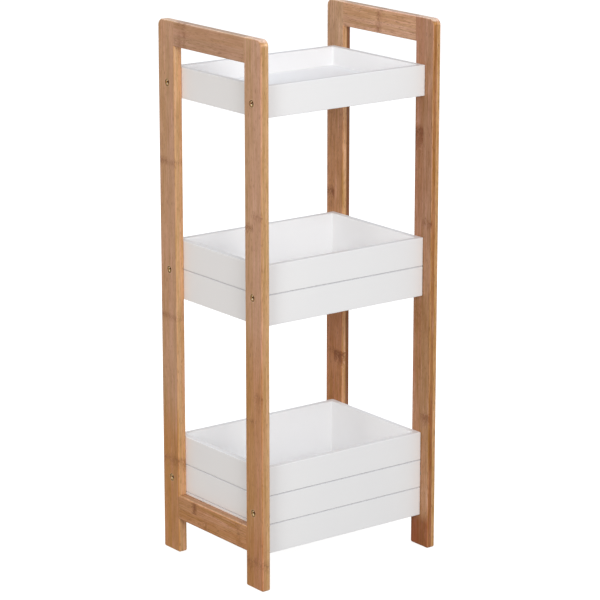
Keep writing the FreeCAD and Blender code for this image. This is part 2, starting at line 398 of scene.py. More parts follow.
@dataclass(frozen=True)
class LaminatedBamboo:
    """Laminated bamboo, planed, sanded and sealed with satin clear lacquer.

    Strips of bamboo are glued side by side in two plies. The eye sees strips of slightly different
    tone, long fine fibres, short dark dashes of vascular bundles, and a darker, curly patch where the
    nodes of the culm were. The lacquer gives a soft sheen that pales the faces at a low angle.

    Attributes:
        strips: Strips side by side on a wide face.
        streak_mm: Width and length of the broad streaks in a strip.
        fibre_mm: Width and length of the fibres. Real ones are 0.3 mm wide, too fine to show, so they
            are drawn coarser.
        dash_mm: Width and length of the dark dashes, drawn twice as wide as real ones so that they show.
        blotch_mm: Width and length of the soft blotches of tone.
        speck_mm: Width and length of the dark specks at a culm node.
        fine_share: Strength of each finer layer of these patterns, next to the coarser one.
        density_shares: How much blotches, streaks and fibres count in how close the fibres lie.
        density_reach: How far that is from its mean where the grain's depth and warmth are reached.
        grain_depth: How much darker close fibres are than the mean.
        grain_warmth: How much deeper in colour close fibres are than the mean.
        grain_hue: How far the streaks turn the hue towards pink and olive, in turns of the colour wheel.
        hue_reach: How far a streak is from the mean where it turns the hue that far.
        strip_hue: How far single strips differ in hue, in turns of the colour wheel.
        strip_warmth: How far they differ in how deep their colour is.
        strip_depth: How far they differ in how light they are.
        shuffle_mm: How far apart, at most, the patterns of two strips are taken from.
        curl_mm: How far the fibres swerve at a culm node.
        waver_mm: How far they swerve elsewhere.
        swirl_mm: Size of the swerves.
        node_band_mm: Half length of the darker zone at a culm node.
        node_line_mm: Half length of the dark line in its middle.
        node_least: Least share of a culm node's strength in a single strip.
        node_seed_step: Step between the seeds of a piece's culm nodes.
        speck_reach: Values of the specks' pattern where they start to show and are full.
        patch_reach: Values of the blotches where a darker zone is weakest and strongest.
        patch_least: Strength of a darker zone where it is weakest.
        glue_line_mm: Width of the line between strips.
        relief_mm: Height of the fibres' relief.
        relief_share: How much of it the lacquer leaves.
        seat_shade_mm: Width of the ring of painted shade on the wood round a screw's head.
        side_share: How much of a change of tone along the height shows on the narrow faces.
        narrow_reach: How far a face looks along X where the narrow faces' tone starts and is full.
        lit_top_reach: How far a face looks up where the top's tone, painted light from above, starts and is
            full.
        dash: Tint of the dashes.
        zone: Tint of the darker zone at a culm node.
        speck: Tint of the specks in it.
        line: Tint of the line in its middle.
        glue: Tint of the lines between strips.
        pale: Tint of a paler ring of wood round a screw's ring of painted shade, in widths of that ring.
        seat_shadow: Tint of the ring of painted shade itself, told in the same way.
        edge: Tint of the rounded edges, darker and pinker, by how squarely a face looks.
        roughness: Roughness of the lacquer between which the streaks vary.
        ior: Refractive index of the lacquer.
    """

    strips: int = 2
    streak_mm: tuple[float, float] = (2.4, 110.0)
    fibre_mm: tuple[float, float] = (1.2, 36.0)
    dash_mm: tuple[float, float] = (1.0, 9.0)
    blotch_mm: tuple[float, float] = (9.0, 34.0)
    speck_mm: tuple[float, float] = (2.4, 2.6)
    fine_share: float = 0.6
    density_shares: tuple[float, float, float] = (0.45, 1.0, 0.7)
    density_reach: float = 0.3
    grain_depth: float = 0.24
    grain_warmth: float = 0.12
    grain_hue: float = 0.012
    hue_reach: float = 0.2
    strip_hue: float = 0.006
    strip_warmth: float = 0.08
    strip_depth: float = 0.06
    shuffle_mm: tuple[float, float, float] = (150.0, 150.0, 900.0)
    curl_mm: float = 8.0
    waver_mm: float = 0.3
    swirl_mm: float = 6.25
    node_band_mm: float = 11.0
    node_line_mm: float = 2.2
    node_least: float = 0.7
    node_seed_step: float = 10.0
    speck_reach: tuple[float, float] = (0.42, 0.62)
    patch_reach: tuple[float, float] = (0.36, 0.58)
    patch_least: float = 0.3
    glue_line_mm: float = 0.35
    relief_mm: float = 0.06
    relief_share: float = 0.5
    seat_shade_mm: float = 0.9
    side_share: float = 0.3
    narrow_reach: tuple[float, float] = (0.8, 0.5)
    lit_top_reach: tuple[float, float] = (0.5, 0.8)
    dash: Tint = Tint("#6E431F", 0.40, 0.58, 0.70)
    zone: Tint = Tint("#8E4A1C", 0.90)
    speck: Tint = Tint("#5C2808", 0.50)
    line: Tint = Tint("#5C2808", 0.55)
    glue: Tint = Tint("#805330", 0.40)
    pale: Tint = Tint("#F4D6A8", 0.30, 2.0, 1.0)
    seat_shadow: Tint = Tint("#4E2000", 0.70, 1.0, 0.25)
    edge: Tint = Tint("#A4683A", 0.50, 0.97, 0.80)
    roughness: tuple[float, float] = (0.37, 0.50)
    ior: float = 1.5

    def material(self, piece: BambooPiece, seats: ScrewSeats) -> Material:
        """Make the finish of one piece.

        Args:
            piece: The post or rail that it is for.
            seats: Where screws sit in the posts.

        Returns:
            The material.
        """
        material, tree = new_material(f"laminated_bamboo_satin_lacquered_{piece.node}")
        low, high = (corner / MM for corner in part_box(piece.node))
        size = high - low
        per_mm = self.strips / getattr(size, piece.grain.across.lower()), len(piece.plies) / size.x
        place, along = self._place(tree, piece, low)
        # The third number stays at a half, in the middle of a cell, so that a strip keeps one tone.
        scaled = add_node(tree, "VectorMath", {0: place, 1: (*per_mm, 0), 2: (0, 0, 0.5)},
                          operation="MULTIPLY_ADD")
        cell = add_node(tree, "VectorMath", {0: scaled}, operation="FLOOR")
        chance = add_node(tree, "TexWhiteNoise", {"Vector": cell, "W": piece.seed},
                          noise_dimensions="4D").outputs["Color"]
        band, line = self._culm_nodes(tree, piece, cell, place, along)
        fibres = self._fibre_place(tree, place, chance, band)
        streak, fibre, dash, blotch = (
            self._stretched_noise(tree, fibres, size_mm, detail) for size_mm, detail in (
                (self.streak_mm, 3.0), (self.fibre_mm, 2.0), (self.dash_mm, 1.0), (self.blotch_mm, 2.0)))
        specks, line, band = self._broken_up(tree, place, band, line, blotch)
        # Ring round each screw head: painted shade on the wood, with a paler ring outside it.
        ring = add_node(tree, "MapRange", {
            "Value": seats.distance(tree, uneven=seats.uneven_mm), "From Min": seats.radius_mm,
            "From Max": seats.radius_mm + self.seat_shade_mm}, clamp=False)
        colour = self._tone(tree, piece, scaled, chance)
        colour = self._grained(tree, colour, piece.figure, (blotch, streak, fibre))
        for value, tint in (
                (dash, replace(self.dash, share=self.dash.share * piece.figure)),
                (band, self.zone), (specks, self.speck), (line, self.line),
                (self._glue_lines(tree, scaled, per_mm), self.glue),
                (ring, self.pale), (ring, self.seat_shadow)):
            colour = tinted(tree, colour, value, tint)
        height = add_node(tree, "Math", {0: fibre, 1: dash}, operation="SUBTRACT")
        bump = add_node(tree, "Bump", {
            "Strength": self.relief_share, "Distance": self.relief_mm * MM, "Height": height})
        gloss = add_node(tree, "MapRange", {
            "Value": streak, "To Min": self.roughness[0], "To Max": self.roughness[1]})
        finish_surface(tree, {"Base Color": colour, "Roughness": gloss, "IOR": self.ior, "Normal": bump})
        return material

    @staticmethod
    def _place(tree: Tree, piece: BambooPiece, low: Vector) -> tuple[Source, Source]:
        """Add nodes for the place in a piece.

        Args:
            tree: The material's tree.
            piece: The piece.
            low: Its lowest corner in millimetres.

        Returns:
            The place across the strips, through the plies and along the fibres, and its last part alone.
        """
        axes = add_node(tree, "SeparateXYZ", {0: millimetres(tree)}).outputs
        across, along = piece.grain.across, axes[piece.grain.value]
        turned = add_node(tree, "CombineXYZ", {0: axes[across], 1: axes["X"], 2: along})
        start = (getattr(low, across.lower()), low.x, 0)
        return add_node(tree, "VectorMath", {0: turned, 1: start}, operation="SUBTRACT"), along

    def _stretched_noise(self, tree: Tree, place: Source, size_mm: tuple[float, float],
                         detail: float) -> Source:
        """Add noise that is drawn out along the fibres.

        Args:
            tree: The material's tree.
            place: The place in the piece.
            size_mm: Width and length of its features.
            detail: How many finer layers it has.

        Returns:
            The noise.
        """
        width, length = size_mm
        scaled = add_node(tree, "VectorMath", {0: place, 1: (1 / width, 1 / width, 1 / length)},
                          operation="MULTIPLY")
        return add_node(tree, "TexNoise", {
            "Vector": scaled, "Scale": 1.0, "Detail": detail, "Roughness": self.fine_share})

    def _broken_up(self, tree: Tree, place: Source, band: Source, line: Source,
                   blotch: Source) -> list[Source]:
        """Break the patches of the culm's nodes up into specks and blotches.

        Args:
            tree: The material's tree.
            place: The place in the piece.
            band: The darker zones.
            line: The dark lines in their middles.
            blotch: The soft blotches.

        Returns:
            The specks, the lines and the zones.
        """
        speck, patch = (
            add_node(tree, "MapRange", {
                "Value": value, "From Min": reach[0], "From Max": reach[1], "To Min": least})
            for value, reach, least in (
                (self._stretched_noise(tree, place, self.speck_mm, 1.0), self.speck_reach, 0.0),
                (blotch, self.patch_reach, self.patch_least)))
        return [add_node(tree, "Math", {0: zone, 1: texture}, operation="MULTIPLY")
                for zone, texture in ((band, speck), (line, speck), (band, patch))]

    def _grained(self, tree: Tree, colour: Source, figure: float, noises: Sequence[Source]) -> Source:
        """Deepen the colour where the fibres lie close together and pale it between them.

        Args:
            tree: The material's tree.
            colour: The colour so far.
            figure: How strongly the grain shows.
            noises: The blotches, the streaks, which turn the hue as well, and the fibres.

        Returns:
            The new colour.
        """
        density: float | Source = -sum(self.density_shares) / 2
        for noise, share in zip(noises, self.density_shares):
            density = add_node(tree, "Math", {0: noise, 1: share, 2: density}, operation="MULTIPLY_ADD")
        value, saturation, hue = (
            add_node(tree, "MapRange", {
                "Value": source, "From Min": middle - reach, "From Max": middle + reach,
                "To Min": mean - gain, "To Max": mean + gain}, clamp=False)
            for source, middle, reach, mean, gain in (
                (density, 0.0, self.density_reach, 1.0, -self.grain_depth * figure),
                (density, 0.0, self.density_reach, 1.0, self.grain_warmth * figure),
                (noises[1], 0.5, self.hue_reach, 0.5, self.grain_hue)))
        return add_node(tree, "HueSaturation", {
            "Hue": hue, "Saturation": saturation, "Value": value, "Color": colour})

    def _culm_nodes(self, tree: Tree, piece: BambooPiece, cell: Source, place: Source,
                    along: Source) -> tuple[Source, Source]:
        """Add the patches of the culm's nodes, a little before or after each other from strip to strip.

        Args:
            tree: The material's tree.
            piece: The piece.
            cell: The strip's and the ply's numbers.
            place: The place in the piece.
            along: Its part along the fibres.

        Returns:
            The darker zones, and the dark lines in their middles.
        """
        wave = add_node(tree, "TexNoise", {"Vector": place, "Scale": 1 / self.node_band_mm, "Detail": 2.0})
        along = add_node(tree, "Math", {0: wave, 1: self.curl_mm, 2: along}, operation="MULTIPLY_ADD")
        strip = add_node(tree, "SeparateXYZ", {0: cell}).outputs["X"]
        bands: list[Source] = []
        lines: list[Source] = []
        for number, culm in enumerate(piece.culm_nodes, 1):
            chance = add_node(tree, "TexWhiteNoise", {
                "Vector": cell, "W": piece.seed + self.node_seed_step * number}, noise_dimensions="4D")
            parts = add_node(tree, "SeparateColor", {0: chance.outputs["Color"]}).outputs
            middle = culm.along_mm + self.curl_mm / 2
            shift, share = (
                add_node(tree, "MapRange", {"Value": parts[part], "To Min": least, "To Max": most})
                for part, least, most in (
                    ("Red", middle - culm.spread_mm, middle + culm.spread_mm),
                    ("Green", self.node_least * culm.strength, culm.strength)))
            away = add_node(tree, "Math", {0: along, 1: shift}, operation="SUBTRACT")
            slope = -self.node_band_mm / (self.node_band_mm + culm.tail_mm)
            tail = add_node(tree, "Math", {0: away, 1: slope}, operation="MULTIPLY")
            away = picked(tree, Pick.GREATEST, (away, tail))
            if culm.strip is not None:
                here = add_node(tree, "Math", {0: strip, 1: float(culm.strip), 2: 0.5}, operation="COMPARE")
                share = add_node(tree, "Math", {0: share, 1: here}, operation="MULTIPLY")
            for zones, half in ((bands, self.node_band_mm), (lines, self.node_line_mm)):
                zones.append(add_node(tree, "MapRange", {
                    "Value": away, "From Min": half, "From Max": 0.0, "To Max": share},
                    interpolation_type="SMOOTHSTEP"))
        return picked(tree, Pick.GREATEST, bands), picked(tree, Pick.GREATEST, lines)

    def _fibre_place(self, tree: Tree, place: Source, chance: Source, band: Source) -> Source:
        """Give each strip fibres of its own, which swerve at a culm node.

        Args:
            tree: The material's tree.
            place: The place in the piece.
            chance: The strip's random colour.
            band: The zones of the culm's nodes.

        Returns:
            The place that the fibres' noise reads.
        """
        own = add_node(tree, "VectorMath", {0: chance, 1: self.shuffle_mm, 2: place},
                       operation="MULTIPLY_ADD")
        swirl = add_node(tree, "TexNoise", {"Vector": place, "Scale": 1 / self.swirl_mm, "Detail": 1.0})
        centred = add_node(tree, "VectorMath", {0: swirl.outputs["Color"], 1: HALF}, operation="SUBTRACT")
        width = add_node(tree, "Math", {0: band, 1: 2 * self.curl_mm, 2: 2 * self.waver_mm},
                         operation="MULTIPLY_ADD")
        swerve = add_node(tree, "VectorMath", {0: centred, "Scale": width}, operation="SCALE")
        return add_node(tree, "VectorMath", {0: own, 1: swerve}, operation="ADD")

    def _glue_lines(self, tree: Tree, scaled: Source, per_mm: tuple[float, float]) -> Source:
        """Add the thin lines between strips and plies.

        Args:
            tree: The material's tree.
            scaled: The place in strips and plies.
            per_mm: How much of a strip and of a ply one millimetre is.

        Returns:
            1 in a glue line and 0 in a strip.
        """
        part = add_node(tree, "VectorMath", {0: scaled}, operation="FRACTION")
        part = add_node(tree, "VectorMath", {0: part, 1: HALF}, operation="SUBTRACT")
        part = add_node(tree, "VectorMath", {0: part}, operation="ABSOLUTE")
        axes = add_node(tree, "SeparateXYZ", {0: part}).outputs
        return picked(tree, Pick.GREATEST, [
            add_node(tree, "MapRange", {
                "Value": axes[axis], "From Min": 0.5 - self.glue_line_mm * share, "From Max": 0.5},
                interpolation_type="SMOOTHSTEP")
            for axis, share in zip("XY", per_mm)])

    def _tone(self, tree: Tree, piece: BambooPiece, scaled: Source, chance: Source) -> Source:
        """Add the tone of each face and ply, varied a little from strip to strip.

        Args:
            tree: The material's tree.
            piece: The piece.
            scaled: The place in strips and plies.
            chance: The strips' random colours.

        Returns:
            The colour.
        """
        ply = add_node(tree, "SeparateXYZ", {0: scaled}).outputs["Y"]
        upper = add_node(tree, "Math", {0: ply, 1: 1.0}, operation="GREATER_THAN")
        near, far, near_side, far_side = (linear(tone.value) for tone in piece.plies + piece.sides)
        height = add_node(tree, "SeparateXYZ", {0: millimetres(tree)}).outputs["Z"]
        for change in piece.changes:
            side, share = (change.side, 1.0) if change.side else (change.tone, self.side_share)
            near, near_side = (
                tinted(tree, colour, height, Tint(tone.value, part, change.start_mm, change.full_mm))
                for colour, tone, part in ((near, change.tone, 1.0), (near_side, side, share)))
        wide, sides = (
            add_node(tree, "Mix", {0: upper, FIRST: first, SECOND: second}, data_type="RGBA").outputs[MIXED]
            for first, second in ((near, far), (near_side, far_side)))
        normal = add_node(tree, "TexCoord").outputs["Normal"]
        up = add_node(tree, "SeparateXYZ", {0: normal}).outputs["Z"]
        facing = add_node(tree, "VectorMath", {0: normal}, operation="ABSOLUTE")
        facing = add_node(tree, "SeparateXYZ", {0: facing}).outputs
        narrow = add_node(tree, "MapRange", {
            "Value": facing["X"], "From Min": self.narrow_reach[0], "From Max": self.narrow_reach[1]})
        tone = add_node(tree, "Mix", {0: narrow, FIRST: wide, SECOND: sides},
                        data_type="RGBA").outputs[MIXED]
        squarely = picked(tree, Pick.GREATEST, [facing[axis] for axis in "XYZ"])
        # On faces that look up, the top's tone paints the light that falls from above.
        for value, tint in ((squarely, self.edge), (up, Tint(piece.top.value, 1.0, *self.lit_top_reach))):
            tone = tinted(tree, tone, value, tint)
        parts = add_node(tree, "SeparateColor", {0: chance}).outputs
        hue, saturation, value = (
            add_node(tree, "MapRange", {
                "Value": parts[part], "To Min": mean - spread, "To Max": mean + spread})
            for part, mean, spread in (
                ("Red", 0.5, self.strip_hue), ("Green", 1.0, self.strip_warmth),
                ("Blue", 1.0, self.strip_depth)))
        return add_node(tree, "HueSaturation", {
            "Hue": hue, "Saturation": saturation, "Value": value, "Color": tone})


@dataclass(frozen=True)
class SprayedLacquer:
    """Medium density fibreboard, sanded and sprayed with satin white lacquer.

    The eye sees a clean, nearly neutral white with a soft sheen. Close up, the sprayed film has a
    faint orange peel and the sheen is not quite even. The grooves and the top of the rim are greyed
    with painted shade.

    Attributes:
        name: The material's name, before the tray's.
        colour: Colour of the film.
        shade: Colour where the film is a little thinner.
        painted_shade_colour: Colour of the painted shade in the grooves and on the rim.
        groove_shade_mm: Depths under the outer faces between which the grooves get painted shade.
        rim_shade_share: How much painted shade the rim gets, where 1 is as much as a groove gets.
        rim_shade_reach: How far a face looks up where the rim's painted shade starts and is full.
        peel_mm: Size of the orange peel. Real dimples are 0.8 mm wide, and these are drawn coarser.
        peel_depth_mm: Depth of the dimples.
        peel_share: How much of it is left once the film has flowed out.
        cloud_mm: Size of the clouds in the sheen.
        roughness: Roughness of the film between which the clouds vary.
        ior: Refractive index of the film.
    """

    name: str = "fibreboard_sprayed_satin_white"
    colour: str = "#F8F8F8"
    shade: str = "#F5F5F6"
    painted_shade_colour: str = "#D4D4D6"
    groove_shade_mm: tuple[float, float] = (0.3, 1.3)
    rim_shade_share: float = 0.25
    rim_shade_reach: tuple[float, float] = (0.6, 0.9)
    peel_mm: float = 1.6
    peel_depth_mm: float = 0.02
    peel_share: float = 0.4
    cloud_mm: float = 60.0
    roughness: tuple[float, float] = (0.32, 0.40)
    ior: float = 1.5

    def material(self, tray: str) -> Material:
        """Make the finish of one tray.

        Args:
            tray: The tray's name.

        Returns:
            The material.
        """
        material, tree = new_material(f"{self.name}_{tray}")
        place = millimetres(tree)
        cloud, peel = (
            add_node(tree, "TexNoise", {"Vector": place, "Scale": 1 / size, "Detail": detail})
            for size, detail in ((self.cloud_mm, 2.0), (self.peel_mm, 1.0)))
        colour: tuple[float, ...] | Source = linear(self.shade)
        # The second mix greys the grooves and the rim with painted shade.
        for share, other in ((cloud, self.colour), (self._painted_groove_and_rim_shade(tree, place, tray), self.painted_shade_colour)):
            colour = add_node(tree, "Mix", {0: share, FIRST: colour, SECOND: linear(other)},
                              data_type="RGBA").outputs[MIXED]
        gloss = add_node(tree, "MapRange", {
            "Value": cloud, "To Min": self.roughness[0], "To Max": self.roughness[1]})
        bump = add_node(tree, "Bump", {
            "Strength": self.peel_share, "Distance": self.peel_depth_mm * MM, "Height": peel})
        finish_surface(tree, {"Base Color": colour, "Roughness": gloss, "IOR": self.ior, "Normal": bump})
        return material

    def _painted_groove_and_rim_shade(self, tree: Tree, place: Source, tray: str) -> Source:
        """Add nodes that find the grooves by their depth under the outer faces, and the rim by its height.

        Args:
            tree: The material's tree.
            place: The place on the unit in millimetres.
            tray: The tray's name.

        Returns:
            Up to 1 where painted shade greys the grooves and the rim, and 0 elsewhere.
        """
        side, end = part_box(f"{tray}_right_board")[1].x / MM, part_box(f"{tray}_back_board")[1].y / MM
        mirrored = add_node(tree, "VectorMath", {0: place}, operation="ABSOLUTE")
        under = add_node(tree, "VectorMath", {0: (side, end, 0), 1: mirrored}, operation="SUBTRACT")
        axes = add_node(tree, "SeparateXYZ", {0: under}).outputs
        depth = picked(tree, Pick.LEAST, (axes["X"], axes["Y"]))
        normal = add_node(tree, "TexCoord").outputs["Normal"]
        height, up = (add_node(tree, "SeparateXYZ", {0: vector}).outputs["Z"] for vector in (place, normal))
        low, high = (corner.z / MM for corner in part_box(f"{tray}_front_board"))
        shallow, deep = self.groove_shade_mm
        painted_shades = []
        # Painted shade in the grooves, kept off the boards' top and bottom edges, and on the top of the
        # rim.
        for share, limits in (
                (1.0, ((height, high - deep, high - 2 * deep), (height, low + deep, low + 2 * deep),
                       (depth, 0.0, shallow), (depth, deep + shallow, deep))),
                (self.rim_shade_share, ((height, high - deep, high - deep / 2), (up, *self.rim_shade_reach)))):
            film: float | Source = share
            for value, start, full in limits:
                film = add_node(tree, "MapRange", {
                    "Value": value, "From Min": start, "From Max": full, "To Max": film})
            painted_shades.append(film)
        return picked(tree, Pick.GREATEST, painted_shades)


@dataclass(frozen=True)
class RolledLacquerPaintedLight(SprayedLacquer):
    """Thin fibreboard panel, roller coated white before it was cut.

    The eye sees a slightly brighter and cooler white than on the sprayed boards: painted light
    that brightens the trays' floors.
    """

    name: str = "fibreboard_roller_coated_white"
    # The brighter white is painted light on the floors.
    colour: str = "#FCFDFE"
    shade: str = "#FAFBFD"


@dataclass(frozen=True)
class YellowZinc:
    """Steel screw, cold headed and plated with zinc under a yellow chromate.

    The eye sees dull gold metal that turns greenish and pinkish from place to place. Small pale, matt
    spots on each head are painted glints, and the cross recess and the rim are darkened with painted shade.

    Attributes:
        name: The material's name, before the tray's.
        tones: The plating's colours, from greenish over gold to pinkish.
        tone_stops: Values of the patches' pattern where they show.
        glint_colour: Colour of the painted glints, which isn't metallic.
        dark: Colour of the painted shade in the recess and at the rim.
        cover: How much of the painted glints or of the painted shade shows where it is full.
        patch_mm: Size of the colour patches.
        painted_glints: The painted glints on each head: how far towards the back and up from its middle,
            and the distances from there between which the spot shows.
        recess_shadow: Where painted shade darkens the recess, told in the same way.
        spot_share: How uneven these are, next to the ring round the head.
        nick_mm: Size of the barrel's fine nicks, drawn coarser than the real 0.1 mm.
        nick_depth_mm: Depth of the nicks.
        nick_share: How much of it the plating leaves.
        recess_mm: Depths under the head's top between which painted shade darkens the recess.
        rim_mm: Distances inside the head's edge between which painted shade darkens the rim.
        roughness: Roughness of the plating between which the nicks vary.
    """

    name: str = "steel_yellow_zinc_plated"
    tones: tuple[str, ...] = ("#DEBB7A", "#F4C67C", "#ECB488")
    tone_stops: tuple[float, ...] = (0.35, 0.5, 0.65)
    glint_colour: str = "#FFEEC6"
    dark: str = "#6A3200"
    cover: float = 0.95
    patch_mm: float = 3.5
    painted_glints: tuple[tuple[float, ...], ...] = ((0.4, -1.6, 1.9, 1.0), (0.4, 2.7, 1.3, 0.6))
    recess_shadow: tuple[float, ...] = (-2.0, 0.8, 2.6, 1.7)
    spot_share: float = 0.25
    nick_mm: float = 0.5
    nick_depth_mm: float = 0.03
    nick_share: float = 0.3
    recess_mm: tuple[float, float] = (0.05, 0.5)
    rim_mm: tuple[float, float] = (0.9, 0.1)
    roughness: tuple[float, float] = (0.18, 0.38)

    def material(self, tray: str, seats: ScrewSeats) -> Material:
        """Make the finish of one tray's screws.

        Args:
            tray: The tray's name.
            seats: Where the screws sit.

        Returns:
            The material.
        """
        material, tree = new_material(f"{self.name}_{tray}")
        place = millimetres(tree)
        patch, nick = (
            add_node(tree, "TexNoise", {"Vector": place, "Scale": 1 / size, "Detail": 1.0})
            for size in (self.patch_mm, self.nick_mm))
        ramp = add_node(tree, "ValToRGB", {"Fac": patch})
        ramp.color_ramp.elements.new(self.tone_stops[1])
        for element, stop, tone in zip(ramp.color_ramp.elements, self.tone_stops, self.tones):
            element.position = stop
            element.color = linear(tone)
        side = add_node(tree, "SeparateXYZ", {0: place}).outputs["X"]
        side = add_node(tree, "Math", {0: side}, operation="ABSOLUTE")
        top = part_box(f"{tray}_screws")[1].x / MM
        ring = seats.distance(tree, uneven=seats.uneven_mm)
        recess_shadow, *painted_glints = (
            (seats.distance(tree, (back, up), seats.uneven_mm * self.spot_share), start, full)
            for back, up, start, full in (self.recess_shadow, *self.painted_glints))
        # Places darkened with painted shade: the rim, the depth of the recess, and a patch over it.
        painted_shade_places = (
            (ring, *(seats.radius_mm - inside for inside in self.rim_mm)),
            (side, *(top - under for under in self.recess_mm)), recess_shadow)
        colour: Source = ramp
        metallic: float | Source = 1.0
        # The dark colour paints shade, and the pale, non-metallic colour paints glints.
        for places, hex_colour, bare in ((painted_shade_places, self.dark, 1.0), (painted_glints, self.glint_colour, 0.0)):
            for value, start, full in places:
                share = add_node(tree, "MapRange", {
                    "Value": value, "From Min": start, "From Max": full, "To Max": self.cover})
                colour = add_node(tree, "Mix", {0: share, FIRST: colour, SECOND: linear(hex_colour)},
                                  data_type="RGBA").outputs[MIXED]
                metallic = add_node(tree, "Mix", {"Factor": share, "A": metallic, "B": bare})
        gloss = add_node(tree, "MapRange", {
            "Value": nick, "To Min": self.roughness[0], "To Max": self.roughness[1]})
        bump = add_node(tree, "Bump", {
            "Strength": self.nick_share, "Distance": self.nick_depth_mm * MM, "Height": nick})
        finish_surface(tree, {
            "Base Color": colour, "Metallic": metallic, "Roughness": gloss, "Normal": bump})
        return material


@dataclass(frozen=True)
class TurnedBeech:
    """Beech dowel, turned and left raw.

    The eye sees dull pinkish tan wood with short darker ray flecks along the dowel.

    Attributes:
        name: The material's name.
        colour: Colour of the wood.
        fleck: Tint of its ray flecks.
        fleck_mm: Width and length of the flecks.
        roughness: Roughness of the raw wood.
        ior: Refractive index of wood fibre.
    """

    name: str = "beech_turned_raw"
    colour: str = "#CFA67C"
    fleck: Tint = Tint("#9E7048", 1.0, 0.45, 0.75, Fade.EVEN)
    fleck_mm: tuple[float, float] = (0.5, 3.0)
    roughness: float = 0.7
    ior: float = 1.45

    def material(self) -> Material:
        """Make the finish.

        Returns:
            The material.
        """
        material, tree = new_material(self.name)
        width, length = self.fleck_mm
        place = add_node(tree, "VectorMath", {
            0: millimetres(tree), 1: (1 / width, 1 / length, 1 / width)}, operation="MULTIPLY")
        flecks = add_node(tree, "TexNoise", {"Vector": place, "Scale": 1.0, "Detail": 2.0})
        colour = tinted(tree, linear(self.colour), flecks, self.fleck)
        finish_surface(tree, {"Base Color": colour, "Roughness": self.roughness, "IOR": self.ior})
        return material


@dataclass(frozen=True)
class LightTable:
    """Opal acrylic sheet, cast and lit from below, that the unit stands on in the studio.

    The eye sees a plain white ground.

    Attributes:
        name: The material's name.
        colour: Colour of the sheet.
        glow: Light that comes through the sheet.
        roughness: Roughness of the sheet.
    """

    name: str = "opal_acrylic_lit"
    colour: str = "#C4C4C4"
    glow: float = 0.72
    roughness: float = 0.9

    def material(self) -> Material:
        """Make the finish.

        Returns:
            The material.
        """
        material, tree = new_material(self.name)
        finish_surface(tree, {
            "Base Color": linear(self.colour), "Roughness": self.roughness, "Emission Color": linear(WHITE),
            "Emission Strength": self.glow})
        return material


@dataclass
class SideFrame:
    """One bamboo side frame: two posts, a bottom rail, a handle rail and their hidden dowels.

    Attributes:
        prefix: The first word of its nodes' names.
        pieces: Its posts and rails.
    """

    prefix: str
    pieces: tuple[BambooPiece, ...]

    def dress(self, bamboo: LaminatedBamboo, seats: ScrewSeats, dowel_wood: Material) -> None:
        """Give each post and rail its own bamboo, and the dowels their wood.

        Args:
            bamboo: The bamboo's finish.
            seats: Where screws sit in the posts.
            dowel_wood: The dowels' material.
        """
        for piece in self.pieces:
            dress(piece.node, bamboo.material(piece, seats))
            LOG.info("%s dressed, %d culm nodes", piece.node, len(piece.culm_nodes))
        dress(f"{self.prefix}_frame_dowels", dowel_wood)
        LOG.info("%s frame dressed", self.prefix)


